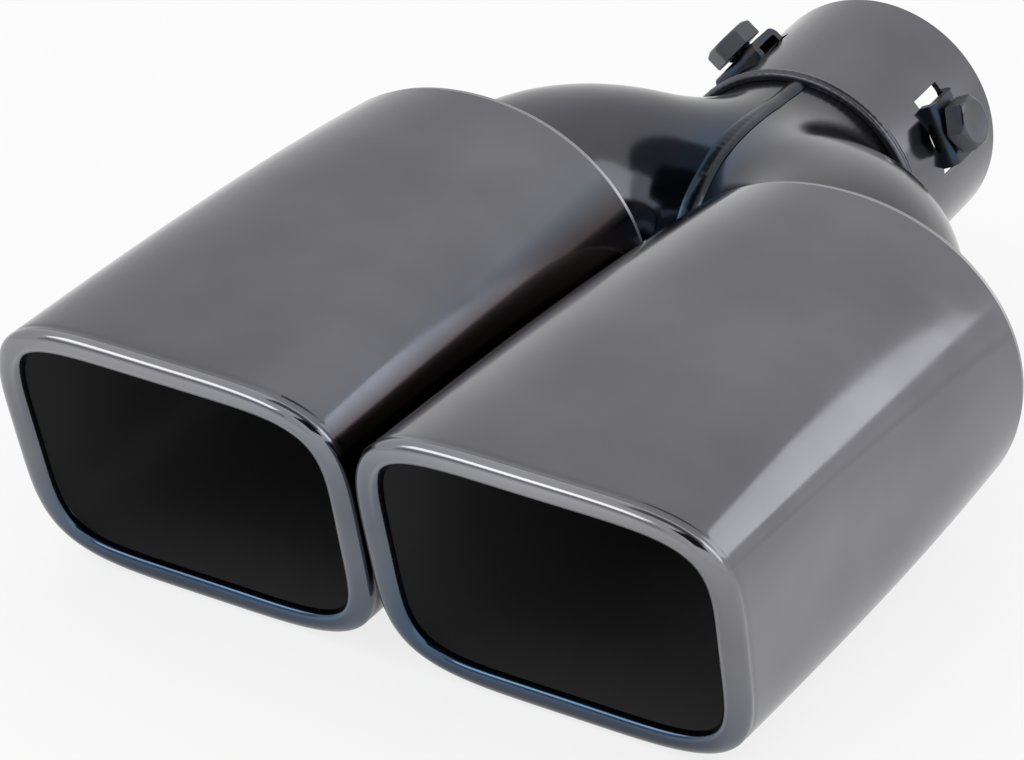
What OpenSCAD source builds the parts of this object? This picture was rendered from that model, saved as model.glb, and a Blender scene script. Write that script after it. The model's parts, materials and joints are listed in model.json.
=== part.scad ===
// Twin-outlet exhaust tip: a clamp collar, a Y pipe of two bent tubes and two rolled-lip outlet shells.
// It is drawn as it lies on its outlets. The origin is the centre of the inlet's open end,
// +Y points back out of the inlet and +Z is up.

/* [Inlet collar] */
// Inside diameter of the collar, which slides over the tailpipe
inlet_bore = 65; // [60:0.5:78]
// Wall thickness of the collar
collar_wall = 1.5; // [1:0.1:2]
// Length of the collar from its open end to the weld
collar_len = 51; // [44:1:70]

/* [Y pipe] */
// Step from the collar's outside down to the tubes' outside
pipe_step = 1; // [0:0.1:1.2]
// Inside radius of each tube's first bend, at the collar
upper_throat = 17.5; // [14:0.5:36]
// Inside radius of each tube's second bend, at its shell
lower_throat = 4; // [3:0.5:14]
// Straight run between the two bends
bend_gap = 1; // [1:0.5:6]
// Wall thickness of the tubes
pipe_wall = 1.4; // [1:0.1:1.8]
// Height of the tubes' outlet ends above the inlet's axis
pipe_rise = 13.2; // [5:0.2:20]
// Straight run of each tube at the collar
collar_land = 1; // [0.6:0.2:5]
// Straight run of each tube before its end plate
plate_land = 4.4; // [2.2:0.2:8]
// Length of tube that stands inside the shell
spigot_len = 6; // [3:1:12]

/* [Outlet shells] */
// Width of each mouth
mouth_w = 92.6; // [84:0.2:104]
// Height of each mouth
mouth_h = 74.4; // [66:0.2:82]
// Width of each shell at its rear end
rear_w = 98; // [90:0.5:108]
// Height of each shell at its rear end
rear_h = 86.8; // [80:0.2:94]
// Length of each shell
shell_len = 138.5; // [110:0.5:160]
// Thickness of the shell sheet
sheet = 1.2; // [0.8:0.1:1.6]
// Outer radius of the rolled lip
lip_r = 3.3; // [2.6:0.1:5]
// Length of the lip's return past the half round
lip_return = 0.4; // [0.2:0.1:6]
// Angle by which the mouth leans back from top to bottom
slash_angle = 14.8; // [0:0.2:20]
// Squareness of the mouth, where 2 is an ellipse
mouth_square = 4.2; // [3:0.1:6]
// Extra squareness of the lip's raw edge
lip_square = 1.1; // [0:0.1:1.5]
// Squareness of the rear end, where 2 is an ellipse
rear_square = 2.07; // [2:0.01:3]
// Extra width of the mouth's top edge, as a share of its half width
mouth_flare = 0.01; // [0:0.01:0.06]
// Depth by which the mouth's long edges are drawn flat
mouth_flat = 0.4; // [0:0.1:2]
// Gap between the two shells
outlet_gap = 0.9; // [0.6:0.1:3]
// Height of the mouth's centre above the centre of the rear end
mouth_rise = 7.5; // [0:0.1:12]
// Share of the end plate's spare width by which the tube stands nearer the middle than its shell
shift_share = 0.58; // [0:0.01:0.8]
// Share of the end plate's spare height by which the tube stands above its shell's axis
drop_share = 0.38; // [0:0.01:0.6]
// Thickness of the plate that closes the rear end
plate_t = 1.5; // [1:0.1:2.5]
// Step from the shell's edge in to the plate's edge
plate_step = 0.4; // [0.2:0.1:1]

/* [Clamps] */
// Length of each clip around the collar
clip_len = 17.5; // [14:0.5:22]
// Width of each clip along the collar
clip_w = 13; // [12:0.5:18]
// Thickness of the clip's strip
clip_t = 2; // [1.5:0.1:2.5]
// Height of the clip's top above the collar
clip_rise = 3; // [2.5:0.1:5]
// Outside radius of the clip's two folds
clip_fold = 2.6; // [2.2:0.1:3.5]
// Distance from the collar's open end to the bolts
clamp_inset = 25; // [20:0.5:30]
// Radius of the round notch in the slot's front edge
notch_r = 5; // [3:0.5:6]
// Depth of the notch past the slot's front edge
notch_out = 2.4; // [1:0.2:3]
// Open length of the slot past each end of the clip
slot_spare = 2.3; // [1:0.1:4]
// Thread diameter of the bolts
bolt_d = 7.9; // [5.9:0.1:8]
// Width of the bolt's head across its flats
head_af = 13; // [10:0.5:14]
// Height of the bolt's head
head_h = 5.3; // [4:0.1:6]
// Distance by which the head stands off the clip
bolt_stand = 1; // [0.5:0.1:2]

/* [Welds] */
// Radius of the bead between the collar and the tubes
collar_bead = 1.9; // [1:0.1:2.1]
// Radius of the bead around each tube on its plate
plate_bead = 1.8; // [1:0.1:2]
// Half width of the bead along the crotch
crotch_w = 2.4; // [1.5:0.1:3]
// Height of the bead along the crotch
crotch_h = 1.1; // [0.6:0.1:1.6]

/* [Hidden] */
$fn = 96;

gunmetal = [0.42, 0.42, 0.44];
shell_tone = [0.46, 0.46, 0.49];
weld_tone = [0.36, 0.36, 0.38];
clip_tone = [0.3, 0.33, 0.38];
bolt_tone = [0.4, 0.42, 0.45];

// clearances
bolt_clear = 0.05;
clip_clear = 0.05;
hole_clear = 0.05;
tip_clear = 0.15;
weld_clear = 0.1;
cut = 1;

// step from a bend's skins to a straight run's, and the length that they share
run_step = 0.05;
lap = 0.5;

// angles of the three clamps around the inlet's axis, from +X towards +Z
clamp_angles = [27, 143, 265];

// collar
collar_ri = inlet_bore / 2;
collar_ro = collar_ri + collar_wall;

// each tube's centre line is a straight, a bend out, a straight, a bend back and a straight
pipe_ro = collar_ro - pipe_step;
pipe_ri = pipe_ro - pipe_wall;
upper_bend = pipe_ro + upper_throat;
lower_bend = pipe_ro + lower_throat;
rear_x = (rear_w + outlet_gap) / 2;
mouth_x = (mouth_w + outlet_gap) / 2;
joint_r = pipe_ro + hole_clear + plate_bead;
shell_shift = shift_share * (rear_w / 2 - plate_step - joint_r);
shell_drop = drop_share * (rear_h / 2 - plate_step - joint_r);
spread = rear_x - shell_shift;
offset_d = norm([spread, pipe_rise]);
lean = atan2(pipe_rise, spread);
bends = upper_bend + lower_bend;
bend_angle = atan2(bends, bend_gap) + asin((offset_d - bends) / norm([bends, bend_gap]));
run_y = bends * sin(bend_angle) + bend_gap * cos(bend_angle);

// stations along Y
crotch_y = -collar_len - collar_land;
bend_end_y = crotch_y - run_y;
rear_y = bend_end_y - plate_land - plate_t;
mouth_y = rear_y - shell_len;

// heights
rear_z = pipe_rise - shell_drop;
mouth_z = rear_z + mouth_rise;

// clamp heights, from the inlet's axis outwards
clip_top = collar_ro + clip_rise;
leg_end = collar_ri + tip_clear;
head_base = clip_top + bolt_stand;
bolt_r = bolt_d / 2;
slot_w = clip_w + 2 * clip_clear;
slot_len = clip_len + 2 * slot_spare;
chamfer_share = 0.93;
chamfer_angle = 30;

// shell sections
around = 64;
lip_steps = 8;
skin_steps = 9;

function blend(a, b, v) = a + (b - a) * v;
function power(c, n) = sign(c) * pow(abs(c), 2 / n);

// point of the shell's section at the share v of its length, drawn in from its outline by inset,
// and squarer the farther in it is
function shell_point(angle, v, inset) =
    let (n = blend(mouth_square, rear_square, v) + lip_square * pow(inset / (2 * lip_r), 2))
    let (c = power(cos(angle), n))
    let (s = power(sin(angle), n))
    let (x = (blend(mouth_w, rear_w, v) / 2 - inset) * c * (1 + mouth_flare * (1 - v) * s))
    let (z = (blend(mouth_h, rear_h, v) / 2 - inset) * s - mouth_flat * (1 - v) * (1 - c * c) * sign(s))
    [x + blend(mouth_x, rear_x, v),
     blend(mouth_y - tan(slash_angle) * z, rear_y, v),
     z + blend(mouth_z, rear_z, v)];

// ring of the shell at a depth behind the mouth
function shell_ring(inset, depth) =
    [for (k = [0 : around - 1]) shell_point(360 * k / around, depth / shell_len, inset)];

// half round of the lip, from outside to inside, as [inset, depth]
function lip_arc(r) = [for (k = [0 : lip_steps])
    [lip_r - r * cos(180 * k / lip_steps), lip_r - r * sin(180 * k / lip_steps)]];
function reversed(list) = [for (k = [len(list) - 1 : -1 : 0]) list[k]];
function skin(inset) = [for (k = [1 : skin_steps]) [inset, blend(lip_r, shell_len, k / skin_steps)]];

// closed outline of the sheet's section: outer skin, lip, raw edge, inside of the lip, inner skin
sheet_outline = concat(
    reversed(skin(0)),
    lip_arc(lip_r),
    [[2 * lip_r, lip_r + lip_return], [2 * lip_r - sheet, lip_r + lip_return]],
    reversed(lip_arc(lip_r - sheet)),
    skin(sheet));

// lowest points of the mouth and of the rear end, on which the part lies
function lowest_z(points) = min([for (p = points) p.z]);
function low_point(points) = [for (p = points) if (p.z == lowest_z(points)) p][0];
front_low = low_point(shell_ring(0, lip_r));
rear_low = low_point(shell_ring(0, shell_len));
rest_tilt = atan2(front_low.z - rear_low.z, rear_low.y - front_low.y);

// crotch: where the right tube's outside crosses the plane X = 0, by the angle around the tube
ahead = [0, -1, 0];
aside = [cos(lean), 0, sin(lean)];
below = [sin(lean), 0, -cos(lean)];
bend_start = [0, crotch_y, 0];
bend_centre = bend_start + upper_bend * aside;
crotch_from = 90 + lean;
crotch_skip = 0.1;
crotch_steps = 56;
shoulder_share = 0.6;
shoulder_height = 0.75;
probe = 0.5;

function bend_at(f) =
    acos(min(1, (upper_bend + pipe_ro * sin(f) * tan(lean)) / (upper_bend - pipe_ro * cos(f))));
function tube_centre(t) = bend_start + upper_bend * (ahead * sin(t) + aside * (1 - cos(t)));
function to_centre(t) = aside * cos(t) - ahead * sin(t);
function tube_normal(t, f) = cos(f) * to_centre(t) + sin(f) * below;
function seam_point(f) = tube_centre(bend_at(f)) + pipe_ro * tube_normal(bend_at(f), f);

// angle around the tube of the crotch bead's ring k, with the rings closer together near both ends
function crotch_angle(k) =
    crotch_from + crotch_skip + (90 - crotch_skip) * (1 - cos(180 * k / crotch_steps));

// nearest point to p on the bend's outside, raised by gap
function onto_tube(p, gap) =
    let (q = p - bend_centre)
    let (t = atan2(q * ahead, -q * aside))
    let (inward = upper_bend - norm([q * ahead, q * aside]))
    let (down = q * below)
    tube_centre(t) + (pipe_ro + gap) * (inward * to_centre(t) + down * below) / norm([inward, down]);

// section of the crotch bead: two feet on the tubes, two shoulders, a crown and its root in the valley
function crotch_ring(f) =
    let (seam = seam_point(f))
    let (along = seam_point(f + probe) - seam_point(f - probe))
    let (normal = tube_normal(bend_at(f), f))
    let (out = [0, normal.y, normal.z] / norm([0, normal.y, normal.z]))
    let (across = cross(along, normal))
    let (right = across * sign(across.x) / norm(across))
    let (foot = onto_tube(seam + crotch_w * right, weld_clear))
    let (root = seam + weld_clear / (normal * out) * out)
    let (middle = [0, foot.y, foot.z])
    let (shoulder = middle + [shoulder_share * foot.x, 0, 0] + shoulder_height * crotch_h * out)
    [foot, shoulder, middle + crotch_h * out, to_left(shoulder), to_left(foot), root];
function to_left(p) = [-p.x, p.y, p.z];

// faces of a closed tube of rings, each with the same number of points
function side_faces(rings, points, closed) =
    [for (i = [0 : rings - (closed ? 1 : 2)], k = [0 : points - 1], half = [0, 1])
        let (a = i * points + k)
        let (b = i * points + (k + 1) % points)
        let (c = ((i + 1) % rings) * points + (k + 1) % points)
        let (d = ((i + 1) % rings) * points + k)
        half == 0 ? [a, b, c] : [a, c, d]];
function flat_list(lists) = [for (list = lists) for (item = list) item];

// lays the construction, whose inlet axis is level, down on its outlets
module laid() {
    rotate([rest_tilt, 0, 0])
        children();
}

// extrudes a drawing of X and Z between two stations along Y
module along_y(from, to) {
    translate([0, to, 0])
        rotate([90, 0, 0])
            linear_extrude(to - from)
                children();
}

// turns a half section, drawn as radius and Y, about the inlet's axis
module about_inlet() {
    rotate([-90, 0, 0])
        rotate_extrude()
            children();
}

// moves a clamp that is drawn over the inlet's axis, with +Z outwards, to its angle
module clamp_place(angle) {
    translate([0, -clamp_inset, 0])
        rotate([0, 90 - angle, 0])
            children();
}

module ring_section(outer, inner) {
    difference() {
        circle(outer);
        circle(inner);
    }
}

module inlet_collar() {
    color(gunmetal)
        laid()
            difference() {
                along_y(-collar_len, 0)
                    ring_section(collar_ro, collar_ri);
                for (angle = clamp_angles)
                    clamp_place(angle)
                        clamp_opening();
            }
}

// slot for the clip's legs and the round notch in its front edge
module clamp_opening() {
    depth = collar_ro / 2 + cut;
    translate([-slot_len / 2, -slot_w / 2, collar_ro / 2])
        cube([slot_len, slot_w, depth]);
    translate([0, notch_r - notch_out - slot_w / 2, collar_ro / 2])
        cylinder(h = depth, r = notch_r);
}

module collar_weld() {
    color(weld_tone)
        laid()
            about_inlet()
                translate([collar_ro + weld_clear, -collar_len])
                    collar_bead_section();
}

// round bead that lies on the collar's outside and, in front of its end, on the tubes
module collar_bead_section() {
    side = 2 * collar_bead;
    difference() {
        circle(collar_bead);
        translate([-side, -weld_clear])
            square(side);
        translate([-side - pipe_step, -side])
            square([side, 2 * side]);
    }
}

// right tube of the Y, cut off where it meets the left one
module branch() {
    difference() {
        rotate([0, -lean, 0])
            bent_tube();
        translate([-rear_w, rear_y - shell_len, -rear_w])
            cube([rear_w, shell_len - rear_y + cut, 2 * rear_w]);
    }
}

// bends joined by straight runs, whose ends stand inside the bends' wall
module bent_tube() {
    first = [upper_bend * (1 - cos(bend_angle)), crotch_y - upper_bend * sin(bend_angle)];
    second = first + bend_gap * [sin(bend_angle), -cos(bend_angle)];
    second_centre = second - lower_bend * [cos(bend_angle), sin(bend_angle)];
    straight_run([0, -collar_len], 0, 0, collar_land + lap);
    translate([upper_bend, crotch_y])
        rotate(180)
            bend_run(upper_bend);
    straight_run(first, bend_angle, -lap, bend_gap + lap);
    translate(second_centre)
        bend_run(lower_bend);
    straight_run([offset_d, bend_end_y], 0, -lap, plate_land + plate_t + spigot_len);
}

module straight_run(start, angle, from, to) {
    translate(start)
        rotate([90, 0, angle])
            translate([0, 0, from])
                linear_extrude(to - from)
                    ring_section(pipe_ro - run_step, pipe_ri + run_step);
}

module bend_run(radius) {
    rotate_extrude(angle = bend_angle)
        translate([radius, 0])
            ring_section(pipe_ro, pipe_ri);
}

module right_branch() {
    color(gunmetal)
        laid()
            branch();
}

module left_branch() {
    color(gunmetal)
        laid()
            mirror([1, 0, 0])
                branch();
}

module crotch_weld() {
    rings = [for (k = [0 : crotch_steps]) crotch_ring(crotch_angle(k))];
    sides = len(rings[0]);
    last = crotch_steps * sides;
    color(weld_tone)
        laid()
            polyhedron(
                points = flat_list(rings),
                faces = concat(
                    side_faces(crotch_steps + 1, sides, false),
                    [for (k = [1 : sides - 2]) [0, k + 1, k]],
                    [for (k = [1 : sides - 2]) [last, last + k, last + k + 1]]));
}

module end_plate() {
    difference() {
        along_y(rear_y, rear_y + plate_t)
            polygon([for (p = shell_ring(plate_step, shell_len)) [p.x, p.z]]);
        translate([spread, 0, pipe_rise])
            along_y(rear_y - cut, rear_y + plate_t + cut)
                circle(pipe_ro + hole_clear);
    }
}

module right_end_plate() {
    color(gunmetal)
        laid()
            end_plate();
}

module left_end_plate() {
    color(gunmetal)
        laid()
            mirror([1, 0, 0])
                end_plate();
}

// fillet between the tube and the plate's rear face
module branch_weld() {
    translate([spread, 0, pipe_rise])
        about_inlet()
            translate([pipe_ro + weld_clear, rear_y + plate_t])
                intersection() {
                    circle(plate_bead);
                    square(plate_bead);
                }
}

module right_branch_weld() {
    color(weld_tone)
        laid()
            branch_weld();
}

module left_branch_weld() {
    color(weld_tone)
        laid()
            mirror([1, 0, 0])
                branch_weld();
}

// one sheet: outer skin, rolled lip with its raw edge inside, inner skin
module shell() {
    polyhedron(
        points = flat_list([for (p = sheet_outline) shell_ring(p[0], p[1])]),
        faces = side_faces(len(sheet_outline), around, true));
}

module right_shell() {
    color(shell_tone)
        laid()
            shell();
}

module left_shell() {
    color(shell_tone)
        laid()
            mirror([1, 0, 0])
                shell();
}

// strip folded down at its front and rear, drilled for the bolt
module clamp_clip(angle) {
    color(clip_tone)
        laid()
            clamp_place(angle)
                difference() {
                    translate([-clip_len / 2, 0, 0])
                        rotate([90, 0, 90])
                            linear_extrude(clip_len)
                                clip_section();
                    translate([0, 0, leg_end - cut])
                        cylinder(h = clip_top - leg_end + 2 * cut, r = bolt_r + bolt_clear);
                }
}

// the clip seen along its folds, with its top at clip_top and its legs' ends at leg_end
module clip_section() {
    difference() {
        arch(clip_w / 2, clip_top, clip_fold);
        arch(clip_w / 2 - clip_t, clip_top - clip_t, clip_fold - clip_t);
    }
}

module arch(half, top, round_r) {
    intersection() {
        translate([-half, leg_end])
            square([2 * half, top - leg_end]);
        union() {
            translate([-half, leg_end - round_r])
                square([2 * half, top - leg_end]);
            translate([round_r - half, leg_end])
                square([2 * (half - round_r), top - leg_end]);
            for (side = [-1, 1])
                translate([side * (half - round_r), top - round_r])
                    circle(round_r);
        }
    }
}

module clamp_clip_right() clamp_clip(clamp_angles[0]);
module clamp_clip_left() clamp_clip(clamp_angles[1]);
module clamp_clip_under() clamp_clip(clamp_angles[2]);

// hexagon head with a chamfered face, and a plain shank of the thread's diameter
module clamp_bolt(angle) {
    color(bolt_tone)
        laid()
            clamp_place(angle) {
                translate([0, 0, leg_end])
                    cylinder(h = head_base - leg_end, r = bolt_r);
                translate([0, 0, head_base])
                    bolt_head();
            }
}

module bolt_head() {
    face_r = chamfer_share * head_af / 2;
    intersection() {
        cylinder(h = head_h, r = head_af / sqrt(3), $fn = 6);
        cylinder(h = head_h, r1 = face_r + head_h / tan(chamfer_angle), r2 = face_r);
    }
}

module clamp_bolt_right() clamp_bolt(clamp_angles[0]);
module clamp_bolt_left() clamp_bolt(clamp_angles[1]);
module clamp_bolt_under() clamp_bolt(clamp_angles[2]);

inlet_collar();
collar_weld();
right_branch();
left_branch();
crotch_weld();
right_end_plate();
left_end_plate();
right_branch_weld();
left_branch_weld();
right_shell();
left_shell();
clamp_clip_right();
clamp_clip_left();
clamp_clip_under();
clamp_bolt_right();
clamp_bolt_left();
clamp_bolt_under();
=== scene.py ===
"""Looks of the twin-outlet exhaust tip: its detailed meshes, metal finishes, studio and camera.

Meshes are drawn in millimetres in the construction frame, in which the inlet's axis is level, and
are then laid down on the outlets and turned to metres, as the CAD part is.
"""

import json
import logging
import math
from collections.abc import Callable, Sequence
from dataclasses import dataclass, field
from enum import Enum
from functools import partial

import bpy
from mathutils import Matrix, Vector, noise


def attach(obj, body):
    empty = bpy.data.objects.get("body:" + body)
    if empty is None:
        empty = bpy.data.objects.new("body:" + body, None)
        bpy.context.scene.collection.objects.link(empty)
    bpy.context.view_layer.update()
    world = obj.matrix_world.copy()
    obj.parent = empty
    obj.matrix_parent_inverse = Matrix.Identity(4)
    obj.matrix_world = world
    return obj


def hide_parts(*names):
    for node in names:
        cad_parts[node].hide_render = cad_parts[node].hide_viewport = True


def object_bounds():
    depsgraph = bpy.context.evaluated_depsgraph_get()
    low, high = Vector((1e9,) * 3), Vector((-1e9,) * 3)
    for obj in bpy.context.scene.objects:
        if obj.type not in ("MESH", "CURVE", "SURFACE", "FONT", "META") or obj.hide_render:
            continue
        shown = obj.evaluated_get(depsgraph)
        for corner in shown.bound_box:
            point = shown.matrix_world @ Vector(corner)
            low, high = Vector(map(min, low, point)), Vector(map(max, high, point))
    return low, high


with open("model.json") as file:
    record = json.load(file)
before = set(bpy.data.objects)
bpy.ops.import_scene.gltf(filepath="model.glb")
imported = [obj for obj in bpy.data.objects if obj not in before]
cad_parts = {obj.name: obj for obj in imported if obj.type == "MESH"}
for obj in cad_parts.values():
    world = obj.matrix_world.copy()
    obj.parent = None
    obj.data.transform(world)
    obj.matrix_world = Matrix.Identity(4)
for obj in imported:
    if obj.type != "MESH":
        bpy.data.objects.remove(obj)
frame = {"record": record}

LOG = logging.getLogger("exhaust_tip")
CAD_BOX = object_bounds()
MM = 0.001
PHOTO_WIDTH_PX = 1024
# angle between two faces past which their edge is shaded sharp
SHARP_DEG = 35.0
# angle between two faces past which their edge is rounded
ROUNDED_DEG = 40.0
# points around a round cutting tool
ROD_AROUND = 96
# angle from the middle of a hexagon's face to its corner
CORNER_TURN = math.pi / 6

Ring = list[Vector]
Face = tuple[int, ...]
Colour = tuple[float, float, float, float]
Point = tuple[float, float, float]
Station = tuple[float, float]
Piece = bpy.types.Object
Finish = bpy.types.Material


class Side(Enum):
    """Side of the tip, seen from its mouths, with the sign of X there."""

    RIGHT = 1
    LEFT = -1

    @property
    def word(self) -> str:
        """Name of the side, as the nodes have it."""
        return self.name.lower()


class Pass(Enum):
    """Direction in which a list of stations is walked."""

    FORWARD = 1
    BACK = -1


@dataclass(frozen=True)
class TipSizes:
    """Driving sizes of the tip in millimetres and degrees, the same as the CAD part's."""

    inlet_bore: float = 65.0
    collar_wall: float = 1.5
    pipe_step: float = 1.0
    collar_len: float = 51.0
    upper_throat: float = 17.5
    lower_throat: float = 4.0
    bend_gap: float = 1.0
    pipe_wall: float = 1.4
    pipe_rise: float = 13.2
    collar_land: float = 1.0
    plate_land: float = 4.4
    spigot_len: float = 6.0
    mouth_w: float = 92.6
    mouth_h: float = 74.4
    rear_w: float = 98.0
    rear_h: float = 86.8
    shell_len: float = 138.5
    sheet: float = 1.2
    lip_r: float = 3.3
    lip_return: float = 0.4
    slash_angle: float = 14.8
    mouth_square: float = 4.2
    lip_square: float = 1.1
    rear_square: float = 2.07
    mouth_flare: float = 0.01
    mouth_flat: float = 0.4
    outlet_gap: float = 0.9
    mouth_rise: float = 7.5
    shift_share: float = 0.58
    drop_share: float = 0.38
    plate_t: float = 1.5
    plate_step: float = 0.4
    hole_clear: float = 0.05
    plate_bead: float = 1.8

    @property
    def collar_ro(self) -> float:
        """Outside radius of the collar."""
        return self.inlet_bore / 2 + self.collar_wall

    @property
    def pipe_ro(self) -> float:
        """Outside radius of the tubes."""
        return self.collar_ro - self.pipe_step

    @property
    def pipe_ri(self) -> float:
        """Inside radius of the tubes."""
        return self.pipe_ro - self.pipe_wall

    @property
    def rear_x(self) -> float:
        """Distance of a shell's axis from the middle plane at the rear end."""
        return (self.rear_w + self.outlet_gap) / 2

    @property
    def mouth_x(self) -> float:
        """Distance of a shell's axis from the middle plane at the mouth."""
        return (self.mouth_w + self.outlet_gap) / 2

    @property
    def joint_r(self) -> float:
        """Radius of a tube's hole in its end plate, with the weld's bead around it."""
        return self.pipe_ro + self.hole_clear + self.plate_bead

    @property
    def spread(self) -> float:
        """Distance of a tube's outlet end from the middle plane."""
        return self.rear_x - self.shift_share * (self.rear_w / 2 - self.plate_step - self.joint_r)

    @property
    def lean(self) -> float:
        """Angle between a tube's bending plane and the level, in radians."""
        return math.atan2(self.pipe_rise, self.spread)

    @property
    def upper_bend(self) -> float:
        """Radius of each tube's first bend."""
        return self.pipe_ro + self.upper_throat

    @property
    def lower_bend(self) -> float:
        """Radius of each tube's second bend."""
        return self.pipe_ro + self.lower_throat

    @property
    def bend_angle(self) -> float:
        """Angle of both bends, in radians."""
        bends = self.upper_bend + self.lower_bend
        offset = math.hypot(self.spread, self.pipe_rise)
        reach = math.hypot(bends, self.bend_gap)
        return math.atan2(bends, self.bend_gap) + math.asin((offset - bends) / reach)

    @property
    def crotch_y(self) -> float:
        """Station where the first bends start."""
        return -self.collar_len - self.collar_land

    @property
    def bend_end_y(self) -> float:
        """Station where the second bends end."""
        bends = self.upper_bend + self.lower_bend
        run = bends * math.sin(self.bend_angle) + self.bend_gap * math.cos(self.bend_angle)
        return self.crotch_y - run

    @property
    def rear_y(self) -> float:
        """Station of the shells' rear ends."""
        return self.bend_end_y - self.plate_land - self.plate_t

    @property
    def mouth_y(self) -> float:
        """Station of the mouths' centres."""
        return self.rear_y - self.shell_len

    @property
    def rear_z(self) -> float:
        """Height of a shell's axis at the rear end."""
        return self.pipe_rise - self.drop_share * (self.rear_h / 2 - self.plate_step - self.joint_r)

    @property
    def mouth_z(self) -> float:
        """Height of a shell's axis at the mouth."""
        return self.rear_z + self.mouth_rise


SIZES = TipSizes()
INLET_AXIS = Vector(frame["record"]["mounts"][0]["axis"])
REST_TILT = math.atan2(INLET_AXIS.z, INLET_AXIS.y)
LAY_DOWN = Matrix.Rotation(REST_TILT, 4, "X") @ Matrix.Scale(MM, 4)


def mix(a: float, b: float, share: float) -> float:
    """Value at a share of the way from a to b."""
    return a + (b - a) * share


def signed_power(value: float, exponent: float) -> float:
    """Power of a number's size, with the number's sign."""
    return math.copysign(abs(value) ** exponent, value)


def bump_at(x: float, centre: float, width: float) -> float:
    """Smooth hump of height 1 at centre."""
    return math.exp(-(((x - centre) / width) ** 2))


def turns(count: int, start: float = 0.0) -> list[float]:
    """Angles of points that are spread evenly around a circle, in radians."""
    return [start + math.tau * k / count for k in range(count)]


def polar(radius: float, turn: float, height: float) -> Vector:
    """Point at an angle around the local Z axis."""
    return Vector((radius * math.cos(turn), radius * math.sin(turn), height))


def drift(run: float, period: float, *place: float) -> float:
    """Slow random change along a weld, from a place of its own in the noise."""
    return noise.noise(Vector((run / period, *place)))


def loft(rings: Sequence[Ring], closed: bool = False, caps: bool = False) -> tuple[Ring, list[Face]]:
    """Joins rings that have the same number of points into one skin.

    Args:
        rings: the rings, in order.
        closed: True where the last ring joins the first.
        caps: True where the end rings are filled.

    Returns:
        The vertices and the faces.
    """
    count = len(rings[0])
    points = [point for ring in rings for point in ring]
    last = len(rings) if closed else len(rings) - 1
    faces: list[Face] = []
    for i in range(last):
        here, there = i * count, (i + 1) % len(rings) * count
        for k in range(count):
            after = (k + 1) % count
            faces.append((here + k, here + after, there + after, there + k))
    if caps:
        faces.append(tuple(range(count - 1, -1, -1)))
        faces.append(tuple((len(rings) - 1) * count + k for k in range(count)))
    return points, faces


def swept(section: Sequence[Station], centre: Vector, radius: float, turn: float) -> Ring:
    """Section, as (out, along Y) pairs from a radius, at an angle around an axis that runs along Y."""
    out = Vector((math.cos(turn), 0.0, math.sin(turn)))
    return [centre + out * (radius + rise) + Vector((0.0, along, 0.0)) for rise, along in section]


def add_object(name: str, data: bpy.types.ID) -> Piece:
    """Adds an object with its data to the scene.

    Args:
        name: name of the object.
        data: its mesh, lamp or camera.

    Returns:
        The object.
    """
    piece = bpy.data.objects.new(name, data)
    bpy.context.scene.collection.objects.link(piece)
    return piece


def mesh_piece(name: str, points: Sequence[Vector], faces: Sequence[Face],
               sharp_deg: float = SHARP_DEG) -> Piece:
    """Makes an object from points in construction millimetres.

    Args:
        name: name of the piece.
        points: the vertices.
        faces: the faces.
        sharp_deg: angle past which an edge is shaded sharp.

    Returns:
        The object, laid down and in metres.
    """
    mesh = bpy.data.meshes.new(name)
    mesh.from_pydata([LAY_DOWN @ point for point in points], [], faces)
    mesh.validate()
    piece = add_object(name, mesh)
    face_outwards(piece)
    mesh.shade_smooth()
    mesh.set_sharp_from_angle(angle=math.radians(sharp_deg))
    return piece


def block(name: str, low: Sequence[float], high: Sequence[float], place: Matrix) -> Piece:
    """Makes a plain box between two corners of a local frame, as a cutting tool.

    Args:
        name: name of the tool.
        low: its lowest corner.
        high: its highest corner.
        place: the local frame, in construction millimetres.

    Returns:
        The tool.
    """
    corners = [place @ Vector((x, y, z)) for x in (low[0], high[0]) for y in (low[1], high[1])
               for z in (low[2], high[2])]
    faces = [(0, 1, 3, 2), (4, 6, 7, 5), (0, 4, 5, 1), (2, 3, 7, 6), (0, 2, 6, 4), (1, 5, 7, 3)]
    return mesh_piece(name, corners, faces)


def rod(name: str, radius: float, low: float, high: float, place: Matrix) -> Piece:
    """Makes a round bar along the Z axis of a local frame, as a cutting tool.

    Args:
        name: name of the tool.
        radius: its radius.
        low: its lower end.
        high: its upper end.
        place: the local frame, in construction millimetres.

    Returns:
        The tool.
    """
    rings = [[place @ polar(radius, turn, z) for turn in turns(ROD_AROUND)] for z in (low, high)]
    points, faces = loft(rings, caps=True)
    return mesh_piece(name, points, faces)


def rectangle(name: str, half_x: float, half_y: float, height: float) -> Piece:
    """Adds a level rectangle around the Z axis, in metres.

    Args:
        name: name of the object.
        half_x: half of its width.
        half_y: half of its length.
        height: its height.

    Returns:
        The object.
    """
    mesh = bpy.data.meshes.new(name)
    mesh.from_pydata([(x * half_x, y * half_y, height) for x, y in ((-1, -1), (1, -1), (1, 1), (-1, 1))], [],
                     [(0, 1, 2, 3)])
    return add_object(name, mesh)


def face_outwards(piece: Piece) -> None:
    """Turns a closed mesh's faces so that its volume is positive.

    Args:
        piece: the piece.
    """
    mesh = piece.data
    mesh.calc_loop_triangles()
    volume = 0.0
    for triangle in mesh.loop_triangles:
        a, b, c = (mesh.vertices[i].co for i in triangle.vertices)
        volume += a.dot(b.cross(c))
    if volume < 0:
        mesh.flip_normals()


def apply_modifiers(piece: Piece) -> None:
    """Replaces a piece's mesh by the result of its modifiers.

    Args:
        piece: the piece.
    """
    graph = bpy.context.evaluated_depsgraph_get()
    result = bpy.data.meshes.new_from_object(piece.evaluated_get(graph))
    piece.modifiers.clear()
    piece.data = result


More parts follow.
